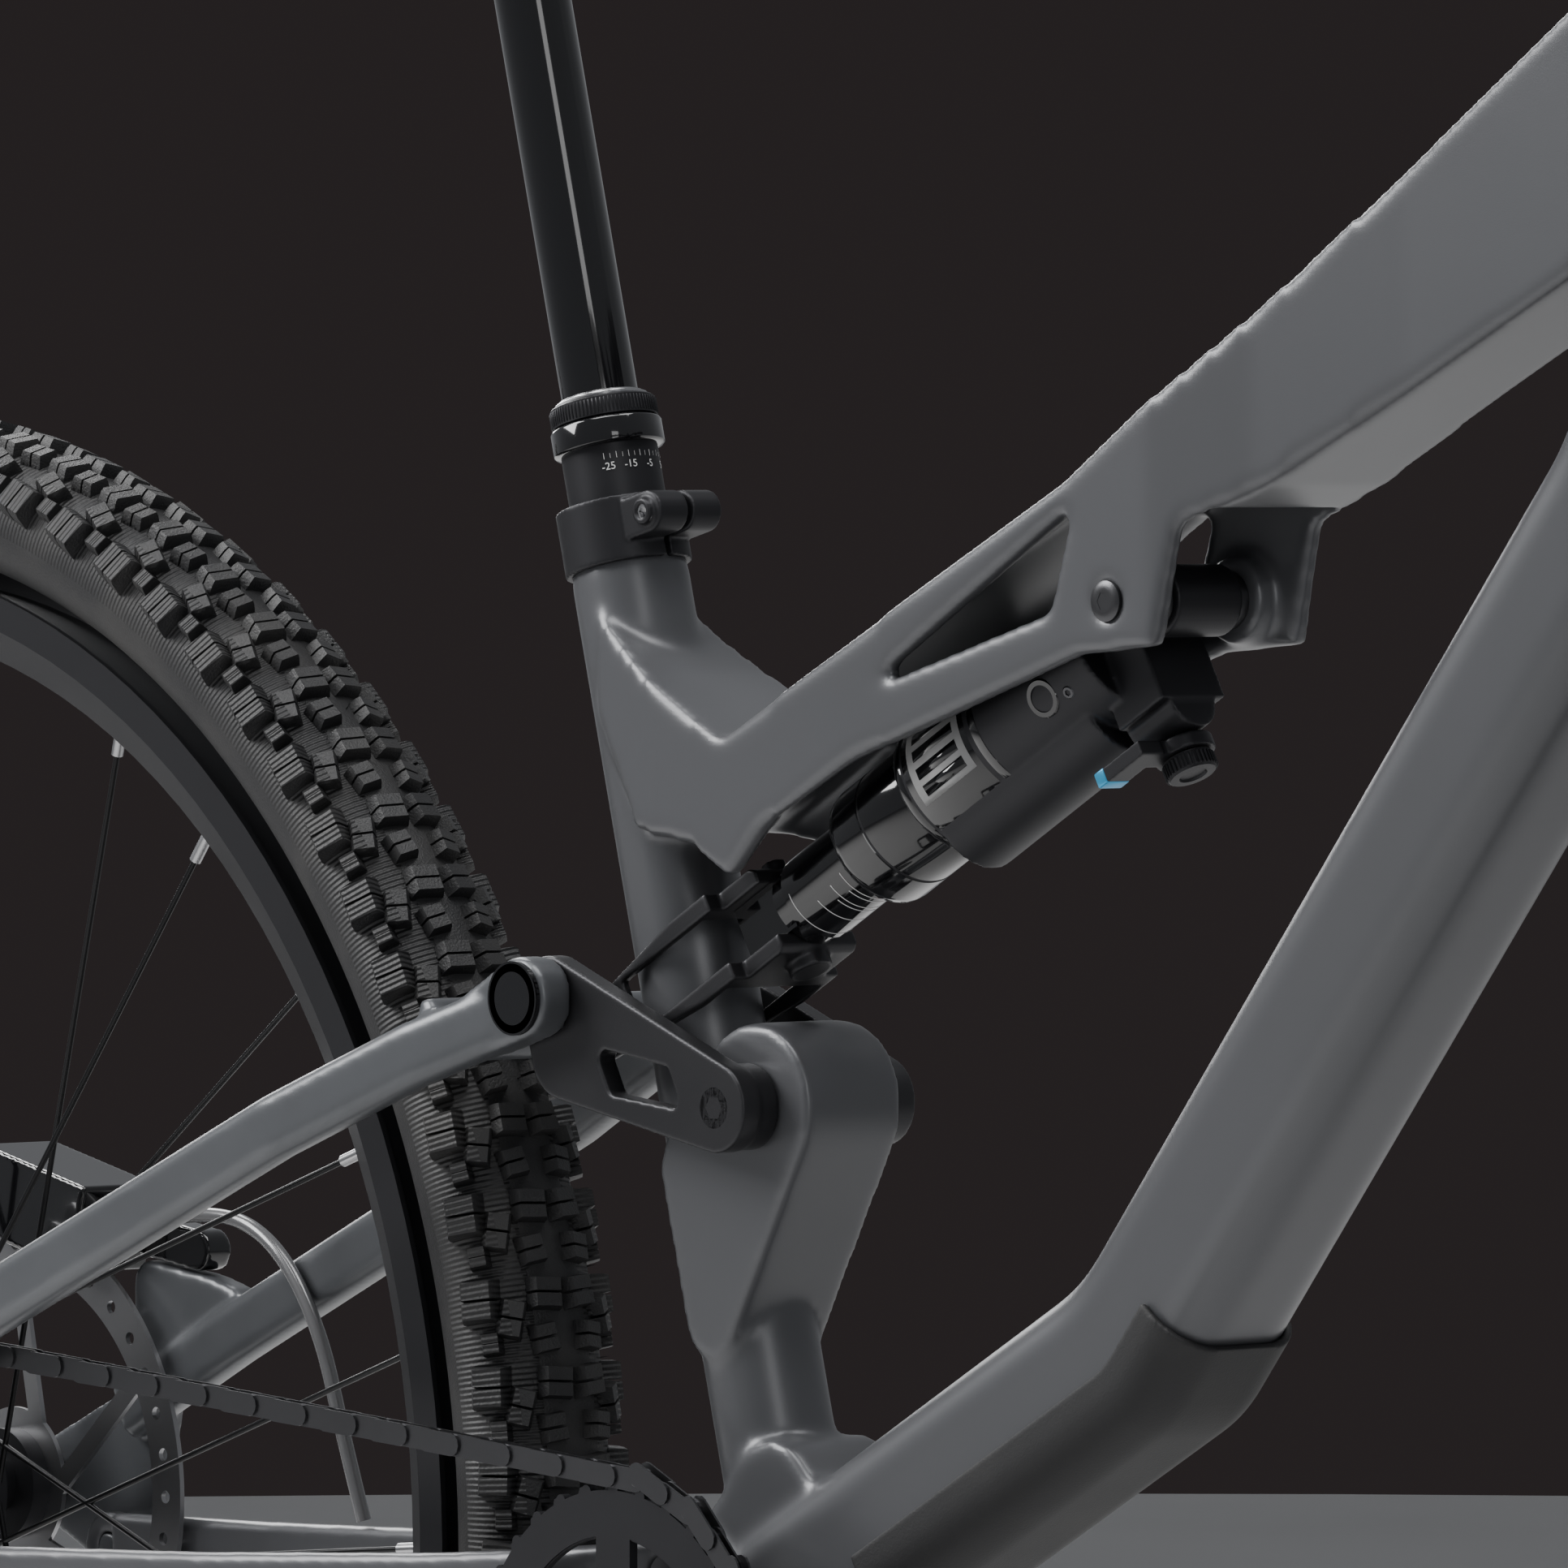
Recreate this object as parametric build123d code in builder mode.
from build123d import *
import os
from math import cos, sin, tan, radians, pi, sqrt, hypot, atan2

# Full suspension mountain bike. X points forward, Y to the rider's left, Z up.
# The origin is on the ground, halfway between the two axles.
# Frame points below are (forward of the rear axle, height above the ground) in millimetres.

os.makedirs("parts", exist_ok=True)

# ---- Driving dimensions ----
WHEEL_RADIUS = 370.0
TYRE_WIDTH = 60.0
RIM_OUTER_RADIUS = 317.0
RIM_INNER_RADIUS = 294.0
RIM_WIDTH = 35.0
SPOKE_COUNT = 28
SPOKE_RADIUS = 1.0
REAR_HUB_WIDTH = 148.0
FRONT_HUB_WIDTH = 110.0
ROTOR_RADIUS = 90.0
ROTOR_THICKNESS = 1.8
FRONT_ROTOR_Y = 39.5
REAR_ROTOR_Y = 58.7

BOTTOM_BRACKET = (442.0, 335.0)
SHELL_WIDTH = 73.0
SHELL_RADIUS = 21.5
MAIN_PIVOT = (448.0, 372.0)
HORST_PIVOT = (40.0, 350.0)
ROCKER_PIVOT = (469.6, 519.3)
STAY_PIVOT = (390.3, 551.2)
YOKE_PIVOT = (394.3, 537.1)
SHOCK_EYE = (644.1, 677.4)

SEAT_ANGLE = 75.5
SEAT_TUBE_TOP = (388.4, 685.0)
SEAT_TUBE_RADIUS = 18.7
POST_TUBE_RADIUS = 15.45
POST_SHAFT_RADIUS = 12.2
DROPPER_TRAVEL = 150.0

HEAD_ANGLE = 65.5
HEAD_BOTTOM = (953.0, 846.0)
HEAD_TUBE_LENGTH = 100.0
HEAD_TUBE_RADIUS = 26.0
STEERER_RADIUS = 14.3
DOWN_TUBE_WIDTH = 50.0
DOWN_TUBE_DEPTH = 52.0
DOWN_TUBE_KNEE = (633.0, 452.0)
DOWN_TUBE_SHOULDER = (840.0, 709.0)

FORK_OFFSET = 44.0
CROWN_OFFSET = 14.0
STANCHION_RADIUS = 17.5
STANCHION_SPACING = 142.0
LEG_RADIUS = 22.5
FORK_TRAVEL = 120.0
STACK_LOW = 18.0
CROWN_DEPTH = 22.0

BAR_WIDTH = 780.0
BAR_RADIUS = 11.1
BAR_CLAMP_RADIUS = 15.9
BAR_RISE = 20.0
GRIP_LENGTH = 130.0
CRANK_LENGTH = 170.0
CHAINLINE = 51.8
CHAINRING_TEETH = 32
CHAIN_PITCH = 12.7
CASSETTE_TEETH = (51, 45, 39, 34, 30, 26, 23, 20, 17, 15, 13, 11)

RUNNING_FIT = 0.05
SIDE_GAP = 0.4
PIN_RADIUS = 7.5
YOKE_INNER_HALF = 19.0
YOKE_ARM_THICKNESS = 3.0
ROCKER_INNER_HALF = 28.4
ROCKER_THICKNESS = 7.6
STAY_LUG_THICKNESS = 12.5

# ---- Worked out from the driving dimensions ----
HEAD_COS, HEAD_SIN = cos(radians(HEAD_ANGLE)), sin(radians(HEAD_ANGLE))
SEAT_COS, SEAT_SIN = cos(radians(SEAT_ANGLE)), sin(radians(SEAT_ANGLE))
FORK_DROP = (HEAD_BOTTOM[1] + FORK_OFFSET * HEAD_COS - WHEEL_RADIUS) / HEAD_SIN
WHEELBASE = HEAD_BOTTOM[0] + FORK_OFFSET * HEAD_SIN + FORK_DROP * HEAD_COS
SHELL_BORE = SHELL_RADIUS - 3
YOKE_OUTER_HALF = YOKE_INNER_HALF + YOKE_ARM_THICKNESS
ROCKER_OUTER_HALF = ROCKER_INNER_HALF + ROCKER_THICKNESS
STAY_INNER_HALF = ROCKER_OUTER_HALF + SIDE_GAP
STAY_OUTER_HALF = STAY_INNER_HALF + STAY_LUG_THICKNESS


def at(x, z, y=0.0):
    """A frame point, moved so that the origin is halfway between the axles."""
    return Vector(x - WHEELBASE / 2, y, z)


SIDE = Plane(origin=at(0, 0), x_dir=(1, 0, 0), z_dir=(0, -1, 0))
SEAT = Plane(origin=at(*SEAT_TUBE_TOP), x_dir=(SEAT_SIN, 0, SEAT_COS), z_dir=(-SEAT_COS, 0, SEAT_SIN))
STEER = Plane(origin=at(*HEAD_BOTTOM), x_dir=(HEAD_SIN, 0, HEAD_COS), z_dir=(-HEAD_COS, 0, HEAD_SIN))
REAR_AXLE = at(0, WHEEL_RADIUS)
FRONT_AXLE = at(WHEELBASE, WHEEL_RADIUS)
shock_run = Vector(SHOCK_EYE[0] - YOKE_PIVOT[0], 0, SHOCK_EYE[1] - YOKE_PIVOT[1])
SHOCK_LENGTH = shock_run.length
SHOCK = Plane(origin=at(*YOKE_PIVOT), x_dir=(0, 1, 0), z_dir=shock_run)


def steer(x, y, z):
    return STEER.from_local_coords((x, y, z))


def seat(x, y, z):
    return SEAT.from_local_coords((x, y, z))


def shock(across, up, along):
    """A point by the shock: across to the left, up from its axis, along from the yoke pivot."""
    return SHOCK.from_local_coords((across, up, along))


# ---- Building helpers ----
def side_prism(points, half_width, mode=Mode.ADD):
    """A side outline pulled out to both sides of the middle plane."""
    with BuildSketch(SIDE) as outline:
        with BuildLine():
            Polyline(*points, close=True)
        make_face()
    extrude(outline.sketch, amount=half_width, both=True, mode=mode)


def y_pin(x, z, radius, y_low, y_high, mode=Mode.ADD):
    """A cylinder across the bike between two distances from the middle plane."""
    with BuildSketch(SIDE.offset(-y_low)) as disc:
        with Locations((x, z)):
            Circle(radius)
    extrude(disc.sketch, amount=y_low - y_high, mode=mode)


def hull_plate(circles, y_low, y_high, mode=Mode.ADD):
    """A plate across the bike whose outline wraps circles given as (x, z, radius)."""
    with BuildSketch(SIDE.offset(-y_low)) as plate:
        for x, z, radius in circles:
            with Locations((x, z)):
                Circle(radius)
        make_hull()
    extrude(plate.sketch, amount=y_low - y_high, mode=mode)


def round_bar(start, end, radius, mode=Mode.ADD):
    run = end - start
    with BuildSketch(Plane(origin=start, z_dir=run)) as disc:
        Circle(radius)
    extrude(disc.sketch, amount=run.length, mode=mode)


def tube_between(plane, low, high, outer, inner, mode=Mode.ADD):
    """A tube along a plane's normal between two heights."""
    with BuildSketch(plane.offset(low)) as ring:
        Circle(outer)
        if inner > 0:
            Circle(inner, mode=Mode.SUBTRACT)
    extrude(ring.sketch, amount=high - low, mode=mode)


def box_on(plane, centre, size, mode=Mode.ADD):
    """A box in a plane's own directions, centred on a local point."""
    with BuildSketch(plane.offset(centre[2] - size[2] / 2)) as outline:
        with Locations((centre[0], centre[1])):
            Rectangle(size[0], size[1])
    extrude(outline.sketch, amount=size[2], mode=mode)


def swept_box(points, bend, width, depth, corner, mode=Mode.ADD):
    """A rounded bar whose width stays across the bike, swept along a bent route."""
    with BuildLine() as route:
        FilletPolyline(*points, radius=bend)
    with BuildSketch(Plane(origin=route.line @ 0, x_dir=(0, 1, 0), z_dir=route.line % 0)) as section:
        RectangleRounded(width, depth, corner)
    sweep(section.sketch, path=route.line, mode=mode)


def swept_rod(points, bend, radius, mode=Mode.ADD):
    with BuildLine() as route:
        FilletPolyline(*points, radius=bend)
    with BuildSketch(Plane(origin=route.line @ 0, z_dir=route.line % 0)) as section:
        Circle(radius)
    sweep(section.sketch, path=route.line, mode=mode)


def save(part, name):
    part.label = name
    export_step(part, f"parts/{name}.step")


# ---- Main frame ----
TOP_OUTLINE = [(396, 672), (424, 654), (464, 633.5), (623, 713), (716, 775), (918, 912), (936, 850),
               (827, 772), (705, 712), (672, 700), (664, 664), (630, 661), (574, 642.5), (526, 627),
               (484, 606), (468, 590), (450, 600), (420, 604), (396, 640)]
TOP_PLAN = [(390, 19), (430, 27.8), (500, 31), (560, 33), (660, 33), (700, 26), (760, 22), (960, 21)]
ARM_SLOT_HALF = 25.6
SKIN = 6.0
LUG_INNER_HALF = 17.5
BOSS_HALF = 20.0
PIVOT_BOSS_HALF = 25.6

DOWN_ROUTE = [at(928, 870), at(*DOWN_TUBE_SHOULDER), at(*DOWN_TUBE_KNEE), at(462, 356)]
DOWN_BEND = 90.0
DOWN_DIRECTION = (at(*DOWN_TUBE_SHOULDER) - at(*DOWN_TUBE_KNEE)).normalized()
DOWN_NORMAL = Vector(-DOWN_DIRECTION.Z, 0, DOWN_DIRECTION.X)
BOTTLE_SPACING = 64.0
BOTTLE_HOLE_RADIUS = 2.5
BOTTLE_HOLE_DEPTH = 15.0
BOTTLE_START = 150.0

with BuildPart() as main_frame:
    # Top tube that splits into two windowed arms round the shock
    side_prism(TOP_OUTLINE, 33)
    with BuildSketch(Plane(origin=at(0, 500))) as plan:
        with BuildLine():
            Polyline(*TOP_PLAN, *[(x, -y) for x, y in reversed(TOP_PLAN)], close=True)
        make_face()
    extrude(amount=500, mode=Mode.INTERSECT)
    side_prism([(390, 560), (390, 604), (431, 601), (494, 638), (494, 560)], YOKE_OUTER_HALF + SIDE_GAP,
               mode=Mode.SUBTRACT)
    side_prism([(488, 560), (488, 645.5 - SKIN), (623, 711 - SKIN), (652, 722), (682, 716), (690, 640)],
               ARM_SLOT_HALF, mode=Mode.SUBTRACT)
    side_prism([(533, 649), (628, 706), (618, 674)], 40, mode=Mode.SUBTRACT)
    for y_low in (LUG_INNER_HALF, -ARM_SLOT_HALF - 1):
        y_pin(*SHOCK_EYE, 13.5, y_low, y_low + ARM_SLOT_HALF + 1 - LUG_INNER_HALF)
    # Seat tube, head tube, down tube, bottom bracket shell and pivot bosses
    round_bar(seat(0, 0, -340), seat(0, 0, 0), SEAT_TUBE_RADIUS)
    round_bar(seat(0, 0, -10), seat(0, 0, 18), POST_TUBE_RADIUS + 1.9)
    round_bar(steer(0, 0, 0), steer(0, 0, HEAD_TUBE_LENGTH), HEAD_TUBE_RADIUS)
    swept_box(DOWN_ROUTE, DOWN_BEND, DOWN_TUBE_WIDTH, DOWN_TUBE_DEPTH, 15)
    hull_plate([(*ROCKER_PIVOT, 26), (437, 498, 12), (449, 452, 12)], -BOSS_HALF, BOSS_HALF)
    hull_plate([(*MAIN_PIVOT, 14), (478, 400, 16), (500, 372, 20), (470, 352, 14)], -BOSS_HALF, BOSS_HALF)
    y_pin(*MAIN_PIVOT, 14, -PIVOT_BOSS_HALF, PIVOT_BOSS_HALF)
    y_pin(*BOTTOM_BRACKET, SHELL_RADIUS, -SHELL_WIDTH / 2, SHELL_WIDTH / 2)
    # Room below the head tube for the headset cup and for the crown as it steers
    tube_between(STEER, -STACK_LOW, 0, HEAD_TUBE_RADIUS + 1, 0, mode=Mode.SUBTRACT)
    tube_between(STEER, -STACK_LOW - CROWN_DEPTH - 4, -STACK_LOW + SIDE_GAP, 48, 0, mode=Mode.SUBTRACT)
    # Bores
    round_bar(seat(0, 0, -235), seat(0, 0, 30), POST_TUBE_RADIUS + RUNNING_FIT, mode=Mode.SUBTRACT)
    round_bar(steer(0, 0, -30), steer(0, 0, HEAD_TUBE_LENGTH + 30), HEAD_TUBE_RADIUS - 4, mode=Mode.SUBTRACT)
    y_pin(*BOTTOM_BRACKET, SHELL_BORE, -60, 60, mode=Mode.SUBTRACT)
    y_pin(*MAIN_PIVOT, PIN_RADIUS, -60, 60, mode=Mode.SUBTRACT)
    y_pin(*ROCKER_PIVOT, PIN_RADIUS + RUNNING_FIT, -60, 60, mode=Mode.SUBTRACT)
    y_pin(*SHOCK_EYE, 5, -60, 60, mode=Mode.SUBTRACT)
    for place in (BOTTLE_START, BOTTLE_START + BOTTLE_SPACING):
        hole = at(*DOWN_TUBE_KNEE) + DOWN_DIRECTION * place
        face = hole + DOWN_NORMAL * (DOWN_TUBE_DEPTH / 2)
        round_bar(face - DOWN_NORMAL * BOTTLE_HOLE_DEPTH, face + DOWN_NORMAL * 5, BOTTLE_HOLE_RADIUS,
                  mode=Mode.SUBTRACT)
save(main_frame.part, "main_frame")

GUARD_THICKNESS = 2.5
with BuildPart() as downtube_guard:
    guard_start = at(*DOWN_TUBE_KNEE) + DOWN_DIRECTION * 25
    with BuildLine() as guard_route:
        FilletPolyline(guard_start, at(*DOWN_TUBE_KNEE), at(520, 388.5), radius=DOWN_BEND * 0.25)
    with BuildSketch(Plane(origin=guard_start, x_dir=(0, 1, 0), z_dir=guard_route.line % 0)):
        RectangleRounded(DOWN_TUBE_WIDTH + 2 * GUARD_THICKNESS, DOWN_TUBE_DEPTH + 2 * GUARD_THICKNESS, 17)
        with Locations((0, -20)):
            Rectangle(2 * DOWN_TUBE_WIDTH, DOWN_TUBE_DEPTH, mode=Mode.SUBTRACT)
    sweep(path=guard_route.line)
    swept_box(DOWN_ROUTE, DOWN_BEND, DOWN_TUBE_WIDTH, DOWN_TUBE_DEPTH, 15, mode=Mode.SUBTRACT)
save(downtube_guard.part, "downtube_guard")

# ---- Seat clamp and dropper post ----
CLAMP_HEIGHT = 21.0
CLAMP_EAR_X = 27.0
COLLAR_BASE = 39.0
COLLAR_TOP = 57.0
POST_HEAD = COLLAR_TOP + DROPPER_TRAVEL + 14
with BuildPart() as seat_clamp:
    tube_between(SEAT, 0.2, CLAMP_HEIGHT, 20.2, 0)
    ear = Plane(origin=seat(CLAMP_EAR_X, -13, 12.5), x_dir=SEAT.x_dir, z_dir=(0, 1, 0))
    tube_between(ear, 0, 26, 6.6, 0)
    box_on(SEAT, (20, 0, 12.5), (14, 26, 13.2))
    round_bar(seat(0, 0, -1), seat(0, 0, 18), POST_TUBE_RADIUS + 1.95, mode=Mode.SUBTRACT)
    round_bar(seat(0, 0, 0), seat(0, 0, 30), POST_TUBE_RADIUS + RUNNING_FIT, mode=Mode.SUBTRACT)
    box_on(SEAT, (26, 0, 12), (20, 2, 30), mode=Mode.SUBTRACT)
    tube_between(ear, -2.5, 0, 4.2, 2.2)
save(seat_clamp.part, "seat_clamp")

with BuildPart() as seatpost_outer:
    tube_between(SEAT, -230, COLLAR_BASE, POST_TUBE_RADIUS, POST_TUBE_RADIUS - 1.8)
    tube_between(SEAT, -230, -222, POST_TUBE_RADIUS, 0)
save(seatpost_outer.part, "seatpost_outer")

with BuildPart() as seatpost_collar:
    tube_between(SEAT, COLLAR_BASE, 48, 17.75, POST_SHAFT_RADIUS + RUNNING_FIT)
    tube_between(SEAT, 48.0, 55, 17.3, POST_SHAFT_RADIUS + RUNNING_FIT)
    tube_between(SEAT, 55, COLLAR_TOP, 14.5, POST_SHAFT_RADIUS + RUNNING_FIT)
save(seatpost_collar.part, "seatpost_collar")

with BuildPart() as seatpost_shaft:
    tube_between(SEAT, -40, POST_HEAD, POST_SHAFT_RADIUS, 0)
save(seatpost_shaft.part, "seatpost_shaft")

RAIL_RADIUS = 3.5
RAIL_HALF = 22.0
saddle_origin = seat(0, 0, POST_HEAD)
SADDLE = Plane(origin=saddle_origin + Vector(14, 0, 22), x_dir=(1, 0, 0), z_dir=(0, 0, 1))
SADDLE_LENGTH = 255.0
SADDLE_WIDTH = 145.0


def saddle_point(x, y, z):
    return SADDLE.from_local_coords((x, y, z))


with BuildPart() as saddle_clamp:
    box_on(SADDLE, (-14, 0, -13.5), (30, 34, 11))
    round_bar(seat(0, 0, POST_HEAD), seat(0, 0, POST_HEAD + 8), POST_SHAFT_RADIUS + 2)
    box_on(SADDLE, (-14, 0, -5), (36, 2 * RAIL_HALF + 12, 12))
    for bolt in (-26, -2):
        round_bar(saddle_point(bolt, 0, -20), saddle_point(bolt, 0, 6), 3)
    for side in (-1, 1):
        round_bar(saddle_point(-60, side * RAIL_HALF, -4), saddle_point(40, side * RAIL_HALF, -4), RAIL_RADIUS,
                  mode=Mode.SUBTRACT)
save(saddle_clamp.part, "saddle_clamp")

with BuildPart() as saddle_rails:
    for side in (-1, 1):
        swept_rod([saddle_point(-108, side * 30, 23), saddle_point(-70, side * RAIL_HALF, -4),
                   saddle_point(38, side * RAIL_HALF, -4), saddle_point(96, side * 9, 20)], 22, RAIL_RADIUS)
save(saddle_rails.part, "saddle_rails")

with BuildPart() as saddle:
    with BuildSketch(SADDLE.offset(10)):
        for x, y, radius in ((-SADDLE_LENGTH / 2 + 32, SADDLE_WIDTH / 2 - 32, 32), (SADDLE_LENGTH / 2 - 19, 0, 19)):
            with Locations((x, y), (x, -y)):
                Circle(radius)
        make_hull()
    extrude(amount=60)
    saddle_side = [(-SADDLE_LENGTH, 24), (-40, 24), (SADDLE_LENGTH * 0.35, 21), (SADDLE_LENGTH, 12),
                   (SADDLE_LENGTH, 44), (SADDLE_LENGTH * 0.4, 47), (-20, 46), (-SADDLE_LENGTH * 0.5, 56),
                   (-SADDLE_LENGTH, 54)]
    with BuildSketch(Plane(origin=SADDLE.origin, x_dir=(1, 0, 0), z_dir=(0, -1, 0))):
        with BuildLine():
            Polyline(*saddle_side, close=True)
        make_face()
    extrude(amount=SADDLE_WIDTH, both=True, mode=Mode.INTERSECT)
    for side in (-1, 1):
        swept_rod([saddle_point(-108, side * 30, 23), saddle_point(-70, side * RAIL_HALF, -4),
                   saddle_point(38, side * RAIL_HALF, -4), saddle_point(96, side * 9, 20)], 22, RAIL_RADIUS,
                  mode=Mode.SUBTRACT)
save(saddle.part, "saddle")

# ---- Steering: headset, fork crown, stanchions, stem and bar ----
STACK_HIGH = 10.0
STEM_HEIGHT = 40.0
STEM_REACH = 45.0
stem_base = HEAD_TUBE_LENGTH + STACK_HIGH + 15
crown_top = -STACK_LOW
seal_height = crown_top - 38 - FORK_TRAVEL - 12

with BuildPart() as headset_cups:
    tube_between(STEER, -STACK_LOW + 0.4, 14, HEAD_TUBE_RADIUS - 4, STEERER_RADIUS + RUNNING_FIT)
    tube_between(STEER, -STACK_LOW + 0.4, 0, HEAD_TUBE_RADIUS, STEERER_RADIUS + RUNNING_FIT)
    tube_between(STEER, HEAD_TUBE_LENGTH - 14, HEAD_TUBE_LENGTH + STACK_HIGH - 0.4, HEAD_TUBE_RADIUS - 4,
                 STEERER_RADIUS + RUNNING_FIT)
    tube_between(STEER, HEAD_TUBE_LENGTH, HEAD_TUBE_LENGTH + STACK_HIGH - 0.4, HEAD_TUBE_RADIUS - 1,
                 STEERER_RADIUS + RUNNING_FIT)
save(headset_cups.part, "headset_cups")

crown_points = [(0, 0, 25), (CROWN_OFFSET, -STANCHION_SPACING / 2, LEG_RADIUS + 1),
                (CROWN_OFFSET, STANCHION_SPACING / 2, LEG_RADIUS + 1)]
with BuildPart() as fork_crown:
    tube_between(STEER, crown_top - CROWN_DEPTH, stem_base + STEM_HEIGHT - 3, STEERER_RADIUS, 0)
    with BuildSketch(STEER.offset(crown_top - CROWN_DEPTH)):
        for x, y, radius in crown_points:
            with Locations((x, y)):
                Circle(radius)
        make_hull()
    extrude(amount=CROWN_DEPTH)
    for side in (-1, 1):
        round_bar(steer(CROWN_OFFSET, side * STANCHION_SPACING / 2, crown_top - 38),
                  steer(CROWN_OFFSET, side * STANCHION_SPACING / 2, crown_top - CROWN_DEPTH + 5),
                  LEG_RADIUS + 0.4)
        round_bar(steer(CROWN_OFFSET, side * STANCHION_SPACING / 2, crown_top - 39),
                  steer(CROWN_OFFSET, side * STANCHION_SPACING / 2, crown_top + 1), STANCHION_RADIUS,
                  mode=Mode.SUBTRACT)
save(fork_crown.part, "fork_crown")

with BuildPart() as stanchions:
    for side in (-1, 1):
        round_bar(steer(CROWN_OFFSET, side * STANCHION_SPACING / 2, seal_height - 150),
                  steer(CROWN_OFFSET, side * STANCHION_SPACING / 2, crown_top + 3), STANCHION_RADIUS)
save(stanchions.part, "stanchions")

bar_centre = steer(STEM_REACH, 0, stem_base + STEM_HEIGHT / 2)


def bar(x, y, z):
    """A point measured from the middle of the handlebar."""
    return bar_centre + Vector(x, y, z)


BAR = Plane(origin=bar_centre, x_dir=(1, 0, 0), z_dir=(0, 0, 1))
with BuildPart() as stem:
    tube_between(STEER, HEAD_TUBE_LENGTH + STACK_HIGH, stem_base - 0.2, 18, STEERER_RADIUS)
    tube_between(STEER, stem_base, stem_base + STEM_HEIGHT, 19, 0)
    box_on(STEER, (STEM_REACH / 2, 0, stem_base + STEM_HEIGHT / 2), (STEM_REACH, 34, 32))
    round_bar(bar(0, -25, 0), bar(0, 25, 0), BAR_CLAMP_RADIUS + 6)
    box_on(STEER, (STEM_REACH + 16, 0, stem_base + STEM_HEIGHT / 2), (9, 48, 44))
    round_bar(bar(0, -60, 0), bar(0, 60, 0), BAR_CLAMP_RADIUS, mode=Mode.SUBTRACT)
    round_bar(steer(0, 0, stem_base - 20), steer(0, 0, stem_base + STEM_HEIGHT - 3), STEERER_RADIUS,
              mode=Mode.SUBTRACT)
    tube_between(STEER, stem_base + STEM_HEIGHT, stem_base + STEM_HEIGHT + 4, 17, 0)
save(stem.part, "stem")

BAR_SWEEP = tan(radians(8))
bar_half = BAR_WIDTH / 2
bar_right = [bar(0, 0, 0), bar(0, -60, 0), bar(-8, -130, BAR_RISE), bar(-8 - (bar_half - 130) * BAR_SWEEP,
             -bar_half, BAR_RISE + 12)]
bar_end_run = (bar_right[3] - bar_right[2]).normalized()


def bar_place(side, outward):
    """A point on the bar's outer stretch, by its distance from the middle plane."""
    share = (outward - 130) / (bar_half - 130)
    point = bar_right[2] + (bar_right[3] - bar_right[2]) * share
    return Vector(point.X, -side * point.Y, point.Z)


def bar_plane(side, outward):
    """Normal outward along the bar; X points down and Y roughly forward or back."""
    run = Vector(bar_end_run.X, -side * bar_end_run.Y, bar_end_run.Z)
    return Plane(origin=bar_place(side, outward), x_dir=(0, 0, 1), z_dir=run)


BAR_BEND = 45
BULGE_HALF = 40
BULGE_TAPER = 12
BAR_LENGTHWAYS = Plane(origin=bar_centre, x_dir=(0, 1, 0), z_dir=(1, 0, 0))
with BuildPart() as handlebar:
    bar_left = [Vector(p.X, -p.Y, p.Z) for p in reversed(bar_right[1:])]
    swept_rod(bar_left + bar_right[1:], BAR_BEND, BAR_RADIUS)
    with BuildSketch(BAR_LENGTHWAYS) as bulge:
        with BuildLine():
            Polyline((-BULGE_HALF - BULGE_TAPER, 0), (-BULGE_HALF - BULGE_TAPER, BAR_RADIUS - 1),
                     (-BULGE_HALF, BAR_CLAMP_RADIUS), (BULGE_HALF, BAR_CLAMP_RADIUS),
                     (BULGE_HALF + BULGE_TAPER, BAR_RADIUS - 1), (BULGE_HALF + BULGE_TAPER, 0), close=True)
        make_face()
    revolve(bulge.sketch, axis=Axis(bar_centre, (0, 1, 0)))
save(handlebar.part, "handlebar")

with BuildPart() as grips:
    for side in (-1, 1):
        tube_between(bar_plane(side, bar_half - GRIP_LENGTH), 0, GRIP_LENGTH, 15.5, BAR_RADIUS)
        tube_between(bar_plane(side, bar_half - GRIP_LENGTH), GRIP_LENGTH + 1.2, GRIP_LENGTH + 5, 15.5, 0)
        tube_between(bar_plane(side, bar_half - GRIP_LENGTH), GRIP_LENGTH, GRIP_LENGTH + 1.5, 15.5, BAR_RADIUS)
save(grips.part, "grips")

LEVER_PIVOT = (34.0, 215.0, -8.0)
LEVER_PIN_RADIUS = 3.0
LEVER_LENGTH = 120.0


def lever_point(side, forward, outward, height):
    """A point near the bar, forward of it, measured outward from the middle plane."""
    return bar_place(side, outward) + Vector(forward, 0, height)


with BuildPart() as control_clamps:
    for side in (-1, 1):
        tube_between(bar_plane(side, 202), -7, 7, BAR_RADIUS + 5, BAR_RADIUS)
        round_bar(lever_point(side, 21, 160, -2), lever_point(side, 24, 199, -6), 8.5)
        pivot = lever_point(side, *LEVER_PIVOT)
        for level in (-8.5, 4.5):
            round_bar(pivot + Vector(0, 0, level), pivot + Vector(0, 0, level + 4), 7)
            round_bar(pivot + Vector(-12, -side * 19, level + 2), pivot + Vector(0, 0, level + 2), 2)
        round_bar(pivot + Vector(0, 0, -8.5), pivot + Vector(0, 0, 8.5), LEVER_PIN_RADIUS)
        tube_between(bar_plane(side, 180), -5, 5, BAR_RADIUS + 4, BAR_RADIUS)
        round_bar(lever_point(side, -2, 180, -16), lever_point(side, 6, 180, -30), 9)
save(control_clamps.part, "control_clamps")

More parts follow.
